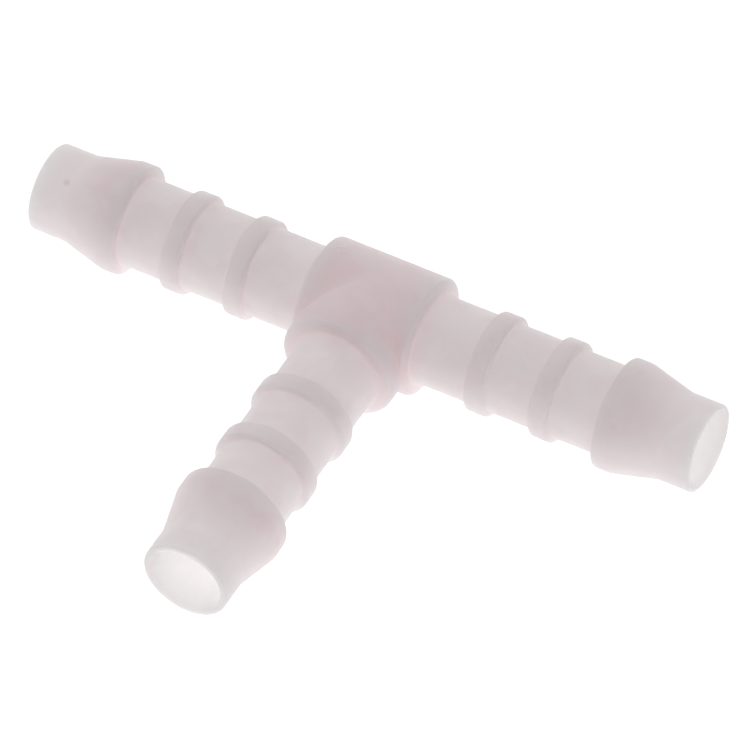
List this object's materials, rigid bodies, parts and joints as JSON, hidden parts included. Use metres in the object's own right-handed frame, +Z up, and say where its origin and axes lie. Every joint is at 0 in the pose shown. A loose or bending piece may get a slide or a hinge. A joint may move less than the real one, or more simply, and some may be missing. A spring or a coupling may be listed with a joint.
{
  "type": "barbed tee connector",
  "caption": "Equal tee for soft hose: a round hub with a ribbed, barbed spigot on each arm and a T-shaped passage through it, moulded in milky white polymer.",
  "frame": {"origin": "where the axis of the run crosses the axis of the branch, at the middle of the hub", "axes": "+X along the run towards the right spigot, -Y along the branch towards its mouth, +Z up with the tee lying flat"},
  "size_m": [0.048, 0.029, 0.008],
  "materials": {
    "natural_polymer": "satin, slightly translucent, as moulded"
  },
  "bodies": {
    "root": {"tee_hub": "natural_polymer", "run_spigot_left": "natural_polymer", "run_spigot_right": "natural_polymer", "branch_spigot": "natural_polymer"}
  },
  "joints": []
}
